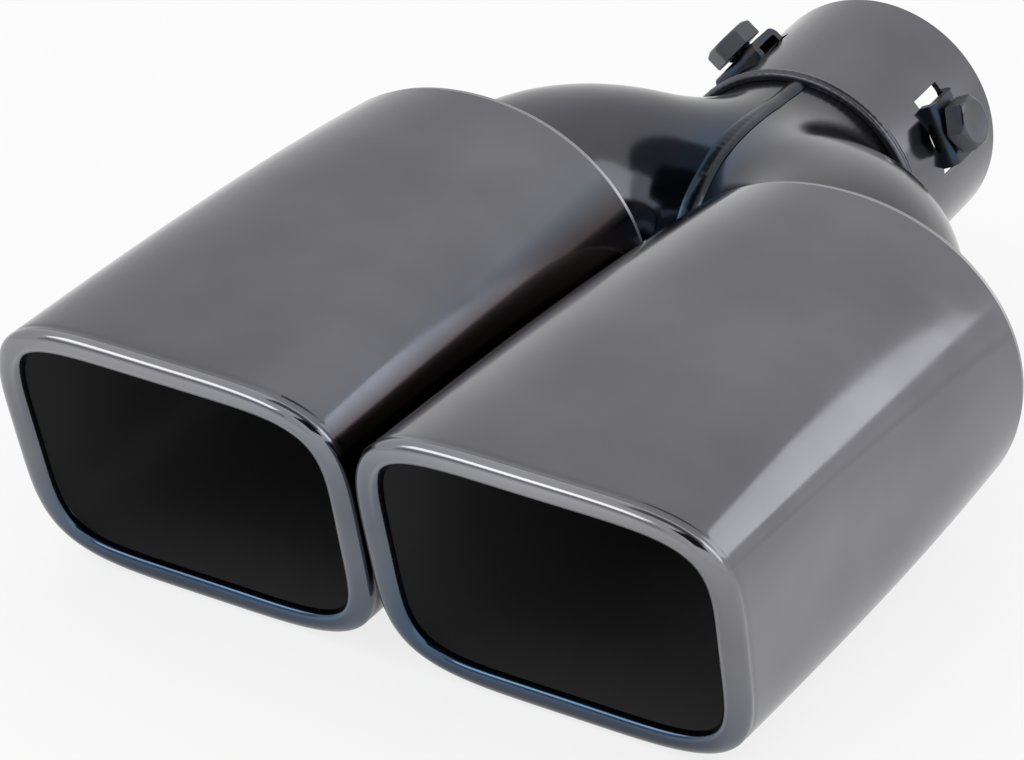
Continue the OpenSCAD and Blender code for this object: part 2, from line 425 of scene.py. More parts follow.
def carve(piece: Piece, tools: Sequence[Piece]) -> None:
    """Cuts tool solids out of a piece and deletes them.

    Args:
        piece: the piece.
        tools: the solids to cut away.
    """
    for tool in tools:
        cutter = piece.modifiers.new("cut", "BOOLEAN")
        cutter.operation = "DIFFERENCE"
        cutter.solver = "EXACT"
        cutter.object = tool
    bpy.context.view_layer.update()
    apply_modifiers(piece)
    for tool in tools:
        bpy.data.objects.remove(tool)


def soften_edges(piece: Piece, width_mm: float) -> None:
    """Rounds a piece's sharp edges a little and shades its large faces flat or round as they are.

    Args:
        piece: the piece.
        width_mm: width of the rounding.
    """
    rounding = piece.modifiers.new("rounding", "BEVEL")
    rounding.width = width_mm * MM
    rounding.segments = 2
    rounding.limit_method = "ANGLE"
    rounding.angle_limit = math.radians(ROUNDED_DEG)
    rounding.harden_normals = False
    weighting = piece.modifiers.new("weighting", "WEIGHTED_NORMAL")
    weighting.weight = 100
    weighting.keep_sharp = False
    bpy.context.view_layer.update()
    piece.data.shade_smooth()
    apply_modifiers(piece)


def store_mask(piece: Piece, name: str, values: Sequence[float]) -> None:
    """Stores one number per vertex, for the finish to read."""
    layer = piece.data.attributes.new(name, "FLOAT", "POINT")
    layer.data.foreach_set("value", values)


def hand_over(piece: Piece, body: str, nodes: Sequence[str], finish: Finish) -> None:
    """Gives a piece its finish, its body and the nodes that it stands for.

    Args:
        piece: the piece.
        body: the CAD body that it moves with.
        nodes: the CAD nodes that it replaces.
        finish: its material.
    """
    piece.data.materials.clear()
    piece.data.materials.append(finish)
    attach(piece, body)
    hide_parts(*nodes)
    LOG.info("%s: %d faces on %s", piece.name, len(piece.data.polygons), body)


def linear(code: str) -> Colour:
    """Turns an sRGB hex colour, such as "8a8a90", to linear as Blender holds it.

    Args:
        code: the colour.

    Returns:
        Its red, green, blue and alpha.
    """
    def channel(value: float) -> float:
        """One channel from sRGB to linear."""
        return value / 12.92 if value <= 0.04045 else ((value + 0.055) / 1.055) ** 2.4

    red, green, blue = (int(code[i:i + 2], 16) / 255 for i in (0, 2, 4))
    return channel(red), channel(green), channel(blue), 1.0


def add_node(tree: bpy.types.NodeTree, kind: str, sockets: dict | None = None, stops: Sequence = (),
             **settings: object) -> bpy.types.Node:
    """Adds a node with its settings and links.

    Args:
        tree: the node tree.
        kind: the node's type, without the words that all shader nodes start with.
        sockets: input name or number to a value, or to the node or output that feeds it.
        stops: a colour ramp's stops, as (position, colour).
        settings: the node's own properties.

    Returns:
        The node.
    """
    node = tree.nodes.new(f"ShaderNode{kind}")
    for name, value in settings.items():
        setattr(node, name, value)
    for key, value in (sockets or {}).items():
        if isinstance(value, bpy.types.Node):
            value = next(output for output in value.outputs if output.enabled)
        if isinstance(value, bpy.types.NodeSocket):
            tree.links.new(value, node.inputs[key])
        else:
            node.inputs[key].default_value = value
    for index, (position, colour) in enumerate(stops):
        elements = node.color_ramp.elements
        element = elements[index] if index < len(elements) else elements.new(position)
        element.position, element.color = position, colour
    return node


def new_material(name: str) -> tuple[Finish, bpy.types.NodeTree]:
    """Makes an empty node material.

    Args:
        name: name of the material.

    Returns:
        The material and its node tree.
    """
    material = bpy.data.materials.new(name)
    material.use_nodes = True
    material.node_tree.nodes.clear()
    return material, material.node_tree


def per_metre(period_mm: float) -> float:
    """Texture scale at which one period of a pattern takes a real length."""
    return 1 / (period_mm * MM)


WHITE: Colour = (1.0, 1.0, 1.0, 1.0)
# per-vertex masks that the coated steel reads
MASKS = ("lip", "blue", "bronze", "edge", "inner")
# painted sheen in place of reflected light, stronger on the right shell: how much lighter the coat is drawn
# along each shell's gap and on its outer flank
PAINTED_SHEENS = {Side.RIGHT: {"painted_gap_sheen": 0.6, "painted_outer_sheen": 0.5},
          Side.LEFT: {"painted_gap_sheen": 0.0, "painted_outer_sheen": 0.1}}
# the part of its range that a noise pattern really reaches
NOISE_SPAN = {"From Min": 0.3, "From Max": 0.7}


@dataclass(frozen=True)
class CoatedSteel:
    """Polished stainless steel under a dark vapour-deposited coat.

    The eye gets a dark mirror with a soft haze, faint clouding of the coat, hair-fine polishing
    lines that show as slightly streaked highlights, a lighter lip where the roll was buffed, bright
    cut edges, and a blue to bronze cast where the coat is thin or the weld's heat has reached it.
    The lighter lip tone also paints sheen and highlights on the shells, the darkest bronze tone
    paints shade in the gap between them and under their lips, and cut edges are drawn darker on
    the underside as painted shade.
    """

    name: str
    coat: str
    buffed_lip_and_sheen_coat: str = "98989c"
    thin_coat: str = "46627c"
    thinnest_coat_and_shade: str = "302422"
    cut_edge: str = "acacb0"
    inside: str = "4a4a4c"
    roughness: float = 0.2
    haze: float = 0.06
    cloud_mm: float = 38.0
    # real polishing lines are under 0.1 mm apart; they are drawn this coarse so that they show
    line_mm: float = 0.6
    line_depth_mm: float = 0.0012
    wave_mm: float = 24.0
    line_stretch: float = 0.04
    wave_depth_mm: float = 0.03
    clouding: float = 0.1
    # roughness that a cut edge or the dark inside adds
    matt: float = 0.35

    def build(self) -> Finish:
        """Makes the material.

        Returns:
            The material, which reads the masks of a piece.
        """
        material, tree = new_material(self.name)
        add = partial(add_node, tree)
        place = add("TexCoord").outputs["Object"]
        masks = [add("Attribute", attribute_name=mask).outputs["Fac"] for mask in MASKS]
        edge, inner = masks[3:]
        colour = linear(self.coat)
        # the lip mask also carries painted sheen and highlights, and the bronze mask painted shade
        for mask, tone in zip(masks, (self.buffed_lip_and_sheen_coat, self.thin_coat, self.thinnest_coat_and_shade, self.cut_edge)):
            colour = add("Mix", {"Factor": mask, "A": colour, "B": linear(tone)}, data_type="RGBA")
        cloud = add("TexNoise", {"Vector": place, "Scale": per_metre(self.cloud_mm), "Detail": 3.0})
        level = add("MapRange", {"Value": cloud, **NOISE_SPAN, "To Min": 1 - self.clouding,
                                 "To Max": 1 + self.clouding})
        clouded = add("Mix", {"Factor": 1.0, "A": colour, "B": level}, data_type="RGBA",
                      blend_type="MULTIPLY")
        colour = add("Mix", {"Factor": inner, "A": clouded, "B": linear(self.inside)}, data_type="RGBA")
        haze = add("TexNoise", {"Vector": place, "Scale": per_metre(self.cloud_mm / 3), "Detail": 4.0})
        rough = add("MapRange", {"Value": haze, **NOISE_SPAN, "To Min": self.roughness - self.haze / 2,
                                 "To Max": self.roughness + self.haze / 2})
        for mask in (edge, inner):
            rough = add("Math", {0: mask, 1: self.matt, 2: rough}, operation="MULTIPLY_ADD")
        wave = add("TexNoise", {"Vector": place, "Scale": per_metre(self.wave_mm), "Detail": 0.0})
        waves = add("Bump", {"Height": wave, "Strength": 1.0, "Distance": self.wave_depth_mm * MM})
        streak = add("Mapping", {"Vector": place, "Scale": (1.0, self.line_stretch, 1.0)})
        lines = add("TexNoise", {"Vector": streak, "Scale": per_metre(self.line_mm), "Detail": 2.0})
        polish = add("Bump", {"Height": lines, "Strength": 1.0, "Distance": self.line_depth_mm * MM,
                              "Normal": waves})
        bare = add("Math", {0: 1.0, 1: inner}, operation="SUBTRACT")
        shader = add("BsdfPrincipled", {"Base Color": colour, "Metallic": bare, "Roughness": rough,
                                        "Normal": polish})
        add("OutputMaterial", {"Surface": shader})
        return material


@dataclass(frozen=True)
class HeatedSteel:
    """Bare steel that a weld has heated, or a plain zinc-grey bolt.

    The eye gets a satin metal whose colour drifts between grey, straw and blue in patches of a
    few millimetres, with a fine grain.
    """

    name: str
    base: str
    warm: str
    cool: str
    roughness: float = 0.34
    haze: float = 0.16
    # values of the patches' noise at which the colour is cool, plain and warm
    heat_at: Point = (0.32, 0.5, 0.68)
    patch_mm: float = 5.0
    grain_mm: float = 0.35
    grain_depth_mm: float = 0.012
    tint: float = 0.6

    def build(self) -> Finish:
        """Makes the material.

        Returns:
            The material.
        """
        material, tree = new_material(self.name)
        add = partial(add_node, tree)
        place = add("TexCoord").outputs["Object"]
        patch = add("TexNoise", {"Vector": place, "Scale": per_metre(self.patch_mm), "Detail": 2.0})
        tones = (linear(tone) for tone in (self.cool, self.base, self.warm))
        heat = add("ValToRGB", {"Fac": patch}, stops=tuple(zip(self.heat_at, tones)))
        colour = add("Mix", {"Factor": self.tint, "A": linear(self.base), "B": heat}, data_type="RGBA")
        grain = add("TexNoise", {"Vector": place, "Scale": per_metre(self.grain_mm), "Detail": 2.0})
        rough = add("MapRange", {"Value": patch, "To Min": self.roughness - self.haze / 2,
                                 "To Max": self.roughness + self.haze / 2})
        relief = add("Bump", {"Height": grain, "Strength": 1.0, "Distance": self.grain_depth_mm * MM})
        shader = add("BsdfPrincipled", {"Base Color": colour, "Metallic": 1.0, "Roughness": rough,
                                        "Normal": relief})
        add("OutputMaterial", {"Surface": shader})
        return material


@dataclass(frozen=True)
class Finishes:
    """The materials of the tip."""

    shell: Finish
    tube: Finish
    collar: Finish
    weld: Finish
    crotch: Finish
    clip: Finish
    bolt: Finish

    @classmethod
    def mixed(cls) -> "Finishes":
        """Makes all the materials.

        Returns:
            The finishes.
        """
        return cls(
            shell=CoatedSteel("black_chrome_on_stainless", coat="6a6a6f", roughness=0.13).build(),
            tube=CoatedSteel("gunmetal_on_stainless_tube", coat="4f4f54", thin_coat="34506c",
                             roughness=0.14).build(),
            collar=CoatedSteel("gunmetal_on_stainless_collar", coat="646469", roughness=0.14).build(),
            weld=CoatedSteel("gunmetal_on_weld_bead", coat="5a5a60", roughness=0.3).build(),
            crotch=CoatedSteel("blued_crotch_bead", coat="3a3e46", thin_coat="1f4a66",
                               roughness=0.24).build(),
            clip=HeatedSteel("blued_strip_steel", base="3c424c", warm="54483e", cool="384b68").build(),
            bolt=HeatedSteel("plain_bolt_steel", base="55575c", warm="5c5852", cool="4a5060", roughness=0.3,
                             tint=0.4).build(),
        )


@dataclass
class OutletShell:
    """One outlet: a formed sheet with a rolled lip, and the plate that closes its rear end."""

    side: Side
    sizes: TipSizes = SIZES
    around: int = 256
    lip_steps: int = 32
    skin_steps: int = 56
    # how strongly the skin's stations crowd towards the lip, and points of the two cut edges
    crowding: float = 1.6
    rear_points: int = 4
    raw_points: int = 6
    crease_depth: float = 0.2
    crease_at: float = 1.4
    crease_w: float = 0.45
    # angle around the roll at which its inner side was ground bright, and the width of that line
    ground_at: float = 122.0
    ground_w: float = 9.0
    # painted sheen in place of reflected light: how much lighter the coat is drawn along the shoulder at the
    # gap, and near the mouth on the outer flank
    painted_gap_sheen: float = 0.1
    painted_outer_sheen: float = 0.1
    sheen_mm: float = 80.0
    # lip mask of the roll at its sides, the painted highlight that its top adds, and the painted shade that
    # its underside takes away
    roll_lip: float = 0.35
    painted_top_highlight: float = 0.65
    painted_underside_shade: float = 0.25
    # blue of the roll's underside, what its inner half adds there and all around, and the gap's side
    low_blue: float = 0.35
    inner_blue: float = 0.65
    round_blue: float = 0.1
    gap_blue: float = 0.25
    # dark bronze drawn under the roll's outer half: painted shade
    painted_underside_dark: float = 0.5
    # lines along the gap, by how much the wall turns to it there: the painted sheen and the blue, as (place,
    # width)
    sheen_line: Station = (0.5, 0.22)
    blue_line: Station = (0.8, 0.12)
    line_blue: float = 0.25
    # bronze line deep in the gap: mostly painted shade between the two shells, with the coat's bronze tint;
    # its strength, where it starts and its width
    bronze: float = 0.9
    bronze_shade_from: float = 0.7
    bronze_shade_w: float = 0.14
    # painted shade: how much less bright an edge is drawn on the underside; and how bright the plate's rim
    # is
    painted_edge_shade: float = 0.9
    rim_edge: float = 0.8
    edge_round: float = 0.3

    def point(self, angle: float, share: float, inset: float) -> Vector:
        """Point of the section at a share of the shell's length.

        Args:
            angle: angle around the section, in radians.
            share: 0 at the mouth and 1 at the rear end.
            inset: distance inside the outline.

        Returns:
            The point.
        """
        s = self.sizes
        squareness = mix(s.mouth_square, s.rear_square, share) + s.lip_square * (inset / (2 * s.lip_r)) ** 2
        exponent = 2 / squareness
        c = signed_power(math.cos(angle), exponent)
        q = signed_power(math.sin(angle), exponent)
        x = (mix(s.mouth_w, s.rear_w, share) / 2 - inset) * c * (1 + s.mouth_flare * (1 - share) * q)
        flat = s.mouth_flat * (1 - share) * (1 - c * c) * (1 if math.sin(angle) > 0 else -1)
        z = (mix(s.mouth_h, s.rear_h, share) / 2 - inset) * q - flat
        slash = math.tan(math.radians(s.slash_angle))
        return Vector((self.side.value * (x + mix(s.mouth_x, s.rear_x, share)),
                       mix(s.mouth_y - slash * z, s.rear_y, share), z + mix(s.mouth_z, s.rear_z, share)))

    def ring(self, inset: float, depth: float) -> Ring:
        """Ring of the shell at a depth behind the mouth.

        Args:
            inset: distance inside the outline.
            depth: distance behind the mouth.

        Returns:
            The ring.
        """
        share = depth / self.sizes.shell_len
        return [self.point(turn, share, inset) for turn in turns(self.around)]

    def lip_arc(self, radius: float, way: Pass) -> list[Station]:
        """Half round of the lip as (inset, depth), walked outside to inside or back.

        Args:
            radius: radius of the skin.
            way: direction of the walk.

        Returns:
            The section, as (inset, depth) pairs.
        """
        lip_r = self.sizes.lip_r
        rolled = (math.pi * k / self.lip_steps for k in range(self.lip_steps + 1)[::way.value])
        return [(lip_r - radius * math.cos(turn), lip_r - radius * math.sin(turn)) for turn in rolled]

    def skin(self, inset: float, way: Pass) -> list[Station]:
        """Stations of a skin as (inset, depth), closer together behind the lip.

        Args:
            inset: distance inside the outline.
            way: direction of the walk.

        Returns:
            The section, as (inset, depth) pairs.
        """
        s = self.sizes
        stations = []
        for k in list(range(1, self.skin_steps + 1))[::way.value]:
            share = (k / self.skin_steps) ** self.crowding
            depth = mix(s.lip_r, s.shell_len, share)
            dent = self.crease_depth * bump_at(depth, s.lip_r + self.crease_at, self.crease_w)
            stations.append((inset + (dent if inset == 0 else 0.0), depth))
        return stations

    def outline(self) -> list[Station]:
        """Closed outline of the sheet's section as (inset, depth), with its two cut edges softened.

        Returns:
            The section, as (inset, depth) pairs.
        """
        s, r = self.sizes, self.edge_round
        # the middle point of a rounded corner lies this far from both of its sides
        mid = 0.3 * r
        raw_in, raw_out, raw_y = 2 * s.lip_r, 2 * s.lip_r - s.sheet, s.lip_r + s.lip_return
        rear = s.shell_len
        outer = self.skin(0.0, Pass.BACK)[1:]
        inner = self.skin(s.sheet, Pass.FORWARD)[:-1]
        return [(r, rear), (mid, rear - mid), (0.0, rear - r), (0.0, rear - 1.5 * r), *outer,
                *self.lip_arc(s.lip_r, Pass.FORWARD),
                (raw_in, raw_y - r), (raw_in - mid, raw_y - mid), (raw_in - r, raw_y),
                (raw_out + r, raw_y), (raw_out + mid, raw_y - mid), (raw_out, raw_y - r),
                *self.lip_arc(s.lip_r - s.sheet, Pass.BACK), *inner,
                (s.sheet, rear - r), (s.sheet - mid, rear - mid), (s.sheet - r, rear)]

    def roll_tones(self, turn: float, inset: float) -> tuple[float, float, float]:
        """Lip, blue and bronze masks of the rolled lip: buffed all round, with a painted highlight on top
        and painted shade below, and blued below and on its inner half.

        Args:
            turn: angle around the section.
            inset: distance inside the outline.

        Returns:
            The three values.
        """
        high, low, gapward = (max(0.0, part) for part in (math.sin(turn), -math.sin(turn), -math.cos(turn)))
        inward = max(0.0, inset / self.sizes.lip_r - 1.0)
        # the buffed roll's tone, plus a painted highlight on top, less a painted shade on its underside
        lip = self.roll_lip + self.painted_top_highlight * high - self.painted_underside_shade * low ** 0.5
        blue = low ** 0.6 * (self.low_blue + self.inner_blue * inward)
        blue += self.round_blue * inward + self.gap_blue * gapward
        # the dark bronze under the roll's outer half is painted shade
        return lip, blue, self.painted_underside_dark * low ** 2 * max(0.0, 1.0 - inward)

    def wall_tones(self, turn: float, inset: float, depth: float) -> tuple[float, float, float]:
        """The same masks of the wall: painted sheen on the outer flank and on the shoulder at the gap, and a
        blue and a bronze line along the gap, the bronze one mostly painted shade.

        Args:
            turn: angle around the section.
            inset: distance inside the outline.
            depth: distance behind the mouth.

        Returns:
            The three values.
        """
        gapward, outward = max(0.0, -math.cos(turn)), max(0.0, math.cos(turn))
        # painted sheen: a lighter coat where reflected light falls on the shoulder and the outer flank
        sheen = self.painted_gap_sheen * bump_at(gapward, *self.sheen_line)
        sheen += self.painted_outer_sheen * outward ** 5 * math.exp(-depth / self.sheen_mm)
        # the dark bronze in the gap is mostly painted shade between the shells
        bronze = self.bronze * min(1.0, max(0.0, (gapward - self.bronze_shade_from) / self.bronze_shade_w))
        outside = inset < self.sizes.sheet / 2
        return sheen, self.line_blue * bump_at(gapward, *self.blue_line), bronze if outside else 0.0

    def masks(self, outline: Sequence[Station]) -> dict[str, list[float]]:
        """Masks of the coat's thin places, of its painted sheen, highlights and shade, of the cut edges and
        of the dark inside, one value per vertex.

        Args:
            outline: the outline of the section.

        Returns:
            The values of each mask.
        """
        rows = []
        roll_start = self.rear_points + self.skin_steps - 1
        raw_edge = roll_start + self.lip_steps + 1
        raw_middle = raw_edge + self.raw_points // 2
        for index, (inset, depth) in enumerate(outline):
            on_roll = roll_start <= index < raw_edge + self.raw_points
            cut = index < self.rear_points - 1 or index == len(outline) - 1 or raw_edge <= index < raw_middle
            inner = 1.0 if index >= raw_middle and not cut else 0.0
            rolled_deg = (index - roll_start) * 180 / self.lip_steps
            for turn in turns(self.around):
                facing = max(0.0, math.sin(turn), self.side.value * math.cos(turn))
                ground = facing * bump_at(rolled_deg, self.ground_at, self.ground_w) if on_roll else 0.0
                # edges are drawn darker on the underside: painted shade
                edge = (1.0 if cut else ground) * (1.0 - self.painted_edge_shade * max(0.0, -math.sin(turn)) ** 0.5)
                tones = self.roll_tones(turn, inset) if on_roll else self.wall_tones(turn, inset, depth)
                rows.append((*tones, edge, inner))
        return {name: list(values) for name, values in zip(MASKS, zip(*rows))}

    def build(self, finishes: Finishes) -> None:
        """Makes the shell and its end plate, and hands them over.

        Args:
            finishes: the tip's materials.
        """
        outline = self.outline()
        points, faces = loft([self.ring(inset, depth) for inset, depth in outline], closed=True)
        shell = mesh_piece(f"{self.side.word}_outlet_shell", points, faces)
        for name, values in self.masks(outline).items():
            store_mask(shell, name, values)
        hand_over(shell, "tip", [f"{self.side.word}_shell"], finishes.shell)
        self.build_plate(finishes)

    def build_plate(self, finishes: Finishes) -> None:
        """Makes the flat plate with its hole for the tube.

        Args:
            finishes: the tip's materials.
        """
        s, r = self.sizes, self.edge_round
        axis = Vector((self.side.value * s.spread, 0.0, s.pipe_rise))
        rings = []
        for grow, y in ((0.0, s.plate_t - r), (r, s.plate_t), (r, 0.0), (0.0, r)):
            rings.append(self.hole_ring(axis, s.pipe_ro + s.hole_clear + grow, s.rear_y + y))
        for inset, y in ((r, 0.0), (0.0, r), (0.0, s.plate_t - r), (r, s.plate_t)):
            ring = self.ring(s.plate_step + inset, s.shell_len)
            rings.append([Vector((point.x, s.rear_y + y, point.z)) for point in ring])
        points, faces = loft(rings, closed=True)
        plate = mesh_piece(f"{self.side.word}_rear_plate", points, faces)
        # the rings around the plate's rim, which is a bright cut edge
        rim = (4, 5, 6)
        edge = [self.rim_edge if i // self.around in rim else 0.0 for i in range(len(points))]
        store_mask(plate, "edge", edge)
        hand_over(plate, "tip", [f"{self.side.word}_end_plate"], finishes.tube)

    def hole_ring(self, axis: Vector, radius: float, y: float) -> Ring:
        """Circle around the tube's axis, with its points in the same order as the shell's rings.

        Args:
            axis: a point of the tube's axis.
            radius: radius of the circle.
            y: its station.

        Returns:
            The ring.
        """
        reach = self.side.value * radius
        return [Vector((axis.x + reach * math.cos(turn), y, axis.z + radius * math.sin(turn)))
                for turn in turns(self.around)]


@dataclass
class YPipe:
    """The two bent tubes, which meet on the middle plane, and their welds."""

    sizes: TipSizes = SIZES
    around: int = 128
    station_mm: float = 0.9
    bead_around: int = 14
    crotch_steps: int = 260
    ring_steps: int = 420
    fillet_steps: int = 8
    crotch_w: float = 2.4
    crotch_h: float = 1.1
    weld_clear: float = 0.1
    ripple_mm: float = 2.1
    ripple_depth: float = 0.06
    plate_ripple: float = 0.12
    # slow change along a bead: its period in millimetres and its place in the noise
    crotch_drift: Point = (9.0, 3.7, 0.0)
    plate_drift: Point = (7.0, 0.0, 5.1)
    # mean share of a bead's full height, and how much its height and its width change
    crotch_mean: float = 0.8
    crotch_vary: float = 0.15
    width_vary: float = 0.12
    plate_mean: float = 0.85
    plate_vary: float = 0.1
    # angle between two faces of a bead past which their edge is shaded sharp
    bead_sharp_deg: float = 60.0
    # blue line along the crotch bead: its strength, and its place and width as shares of the bead
    line_share: float = 0.5
    line_at: float = 0.8
    line_w: float = 0.08
    # where the heat tint of the crotch weld begins and how far it grows, and its blue and bronze bands
    heat_start: float = 22.0
    heat_grow: float = 26.0
    blue_w: float = 8.0
    blue_share: float = 0.6
    bronze_at: float = 24.0
    bronze_below: float = 16.0
    bronze_share: float = 0.15

    def centre_line(self) -> list[tuple[float, float, float]]:
        """Centre line of a tube in its bending plane.

        Returns:
            Stations as (offset from the inlet's axis, Y, heading), with the heading in radians.
        """
        s = self.sizes
        turn = s.bend_angle
        stations = [(0.0, -s.collar_len, 0.0)]
        for k in range(self.steps(s.upper_bend * turn) + 1):
            t = turn * k / self.steps(s.upper_bend * turn)
            stations.append((s.upper_bend * (1 - math.cos(t)), s.crotch_y - s.upper_bend * math.sin(t), t))
        start_x = stations[-1][0] + s.bend_gap * math.sin(turn)
        start_y = stations[-1][1] - s.bend_gap * math.cos(turn)
        for k in range(self.steps(s.lower_bend * turn) + 1):
            t = turn * (1 - k / self.steps(s.lower_bend * turn))
            stations.append((start_x + s.lower_bend * (math.cos(t) - math.cos(turn)),
                             start_y - s.lower_bend * (math.sin(turn) - math.sin(t)), t))
        end_x, end_y, _ = stations[-1]
        tail = s.plate_land + s.plate_t + s.spigot_len
        for k in range(1, self.steps(tail) + 1):
            stations.append((end_x, end_y - tail * k / self.steps(tail), 0.0))
        return stations

    def axes(self) -> tuple[Vector, Vector]:
        """Direction in which the right tube bends away, and the one square to its bending plane."""
        lean = self.sizes.lean
        return Vector((math.cos(lean), 0.0, math.sin(lean))), Vector((math.sin(lean), 0.0, -math.cos(lean)))

    def steps(self, length: float) -> int:
        """Number of steps along a run."""
        return max(2, round(length / self.station_mm))

    def section(self, station: tuple[float, float, float], radius: float, side: Side) -> Ring:
        """Ring of a tube at a station of its centre line.

        Args:
            station: the station.
            radius: the ring's radius.
            side: the tube's side.

        Returns:
            The ring.
        """
        offset, y, heading = station
        aside, below = self.axes()
        across = aside * math.cos(heading) + Vector((0.0, math.sin(heading), 0.0))
        centre = aside * offset + Vector((0.0, y, 0.0))
        ring = []
        for turn in turns(self.around):
            point = centre + radius * (math.cos(turn) * across + math.sin(turn) * below)
            ring.append(Vector((side.value * point.x, point.y, point.z)))
        return ring

    def build_tube(self, side: Side, finish: Finish) -> None:
        """Makes one tube, cut off where it meets the other.

        Args:
            side: the tube's side.
            finish: its material.
        """
        s = self.sizes
        stations = self.centre_line()
        rings = [self.section(station, s.pipe_ro, side) for station in stations]
        rings += [self.section(station, s.pipe_ri, side) for station in stations[::-1]]
        points, faces = loft(rings, closed=True)
        tube = mesh_piece(f"{side.word}_y_tube", points, faces)
        count = len(stations) * self.around
        store_mask(tube, "inner", [0.0] * count + [1.0] * count)
        low = (-side.value * 2 * s.rear_w, s.rear_y - s.shell_len, -s.rear_w)
        carve(tube, [block("half_space", low, (0.0, 2 * s.collar_len, s.rear_w), Matrix())])
        tube.data.set_sharp_from_angle(angle=math.radians(SHARP_DEG))
        self.store_heat(tube)
        hand_over(tube, "tip", [f"{side.word}_branch"], finish)

    def store_heat(self, tube: Piece) -> None:
        """Stores where the crotch weld's heat has turned a tube's coat blue, and bronze farther out.

        Args:
            tube: the piece.
        """
        inverse = LAY_DOWN.inverted()
        blue, bronze = [], []
        for vertex in tube.data.vertices:
            spot = inverse @ vertex.co
            reach = min(1.0, max(0.0, (self.sizes.crotch_y - self.heat_start - spot.y) / self.heat_grow))
            beneath = min(1.0, max(0.0, (self.bronze_below - spot.z) / self.blue_w))
            blue.append(self.blue_share * reach * bump_at(spot.x, 0.0, self.blue_w))
            ring = bump_at(abs(spot.x), self.bronze_at, self.blue_w)
            bronze.append(self.bronze_share * reach * beneath * ring)
        store_mask(tube, "blue", blue)
        store_mask(tube, "bronze", bronze)

    def bend_at(self, turn: float) -> float:
        """Angle along the first bend at which a line around the tube reaches the middle plane.

        Args:
            turn: angle around the tube, from its inward side.

        Returns:
            The angle, in radians.
        """
        s = self.sizes
        top = s.upper_bend + s.pipe_ro * math.sin(turn) * math.tan(s.lean)
        return math.acos(min(1.0, top / (s.upper_bend - s.pipe_ro * math.cos(turn))))

    def seam(self, turn: float) -> tuple[Vector, Vector]:
        """Point of the crotch and the tube's normal there.

        Args:
            turn: angle around the tube, in radians, from its inward side.

        Returns:
            The point and the normal.
        """
        s = self.sizes
        bend = self.bend_at(turn)
        aside, below = self.axes()
        ahead = Vector((0.0, -1.0, 0.0))
        bent = ahead * math.sin(bend) + aside * (1 - math.cos(bend))
        centre = Vector((0.0, s.crotch_y, 0.0)) + s.upper_bend * bent
        to_centre = aside * math.cos(bend) - ahead * math.sin(bend)
        normal = math.cos(turn) * to_centre + math.sin(turn) * below
        return centre + s.pipe_ro * normal, normal

    def build_crotch_weld(self, finish: Finish) -> None:
        """Makes the rippled bead along the line where the tubes meet.

        Args:
            finish: its material.
        """
        s = self.sizes
        rings, run, before = [], 0.0, None
        for k in range(self.crotch_steps + 1):
            turn = math.pi / 2 + s.lean + math.pi * k / self.crotch_steps
            point, normal = self.seam(turn)
            run += (point - before).length if before else 0.0
            before = point
            out = Vector((0.0, normal.y, normal.z)).normalized()
            slope = normal.x / math.hypot(normal.y, normal.z)
            rings.append(self.bead_ring(point, out, slope, run))
        points, faces = loft(rings, caps=True)
        bead = mesh_piece("crotch_bead", points, faces, sharp_deg=self.bead_sharp_deg)
        across = (k / self.bead_around for k in range(self.bead_around + 2))
        band = [self.line_share * bump_at(share, self.line_at, self.line_w) for share in across]
        store_mask(bead, "blue", band * len(rings))
        hand_over(bead, "tip", ["crotch_weld"], finish)

    def bead_ring(self, seam: Vector, out: Vector, slope: float, run: float) -> Ring:
        """Section of the crotch bead: a low crown that runs out onto both tubes.

        Args:
            seam: point of the crotch.
            out: direction out of the valley.
            slope: fall of the tube's skin away from the middle plane.
            run: length of the bead up to here.

        Returns:
            The ring.
        """
        wobble = drift(run, *self.crotch_drift)
        ripple = abs(math.sin(math.pi * run / self.ripple_mm))
        height = self.crotch_h * (self.crotch_mean + self.crotch_vary * wobble) + self.ripple_depth * ripple
        half = self.crotch_w * (1 + self.width_vary * wobble)
        ring = []
        for k in range(self.bead_around + 1):
            x = half * math.cos(math.pi * k / self.bead_around)
            crown = height * (1 - (x / half) ** 2) + self.weld_clear
            ring.append(seam + Vector((x, 0.0, 0.0)) + out * (crown - abs(x) * slope))
        ring.append(seam + 0.5 * self.weld_clear * out)
        return ring

    def build_ring_weld(self, name: str, node: str, centre: Vector, radius: float,
                        bead: Callable[[float], list[Station]], finish: Finish) -> None:
        """Makes a rippled bead around an axis that runs along Y.

        Args:
            name: name of the piece.
            node: the node that it replaces.
            centre: centre of the bead's circle.
            radius: radius of the wall that the bead lies on.
            bead: section of the bead at a length along it, as (out, along Y) pairs.
            finish: its material.
        """
        rings = [swept(bead(radius * turn), centre, radius, turn) for turn in turns(self.ring_steps)]
        points, faces = loft(rings, closed=True)
        piece = mesh_piece(name, points, faces, sharp_deg=self.bead_sharp_deg)
        hand_over(piece, "tip", [node], finish)

    def plate_section(self, run: float) -> list[Station]:
        """Section of a plate weld: a quarter-round fillet.

        Args:
            run: length along the bead.

        Returns:
            The section, as (out, along Y) pairs.
        """
        size = self.sizes.plate_bead * (self.plate_mean + self.plate_vary * drift(run, *self.plate_drift))
        size += self.plate_ripple * abs(math.sin(math.pi * run / self.ripple_mm))
        quarter = [math.pi / 2 * k / self.fillet_steps for k in range(self.fillet_steps + 1)]
        return [(0.0, 0.0), *((size * math.cos(turn), size * math.sin(turn)) for turn in quarter)]

    def build(self, finishes: Finishes) -> None:
        """Makes the tubes and their welds.

        Args:
            finishes: the tip's materials.
        """
        s = self.sizes
        self.build_crotch_weld(finishes.crotch)
        for side in Side:
            self.build_tube(side, finishes.tube)
            centre = Vector((side.value * s.spread, s.rear_y + s.plate_t, s.pipe_rise))
            self.build_ring_weld(f"{side.word}_plate_bead", f"{side.word}_branch_weld", centre,
                                 s.pipe_ro + self.weld_clear, self.plate_section, finishes.weld)


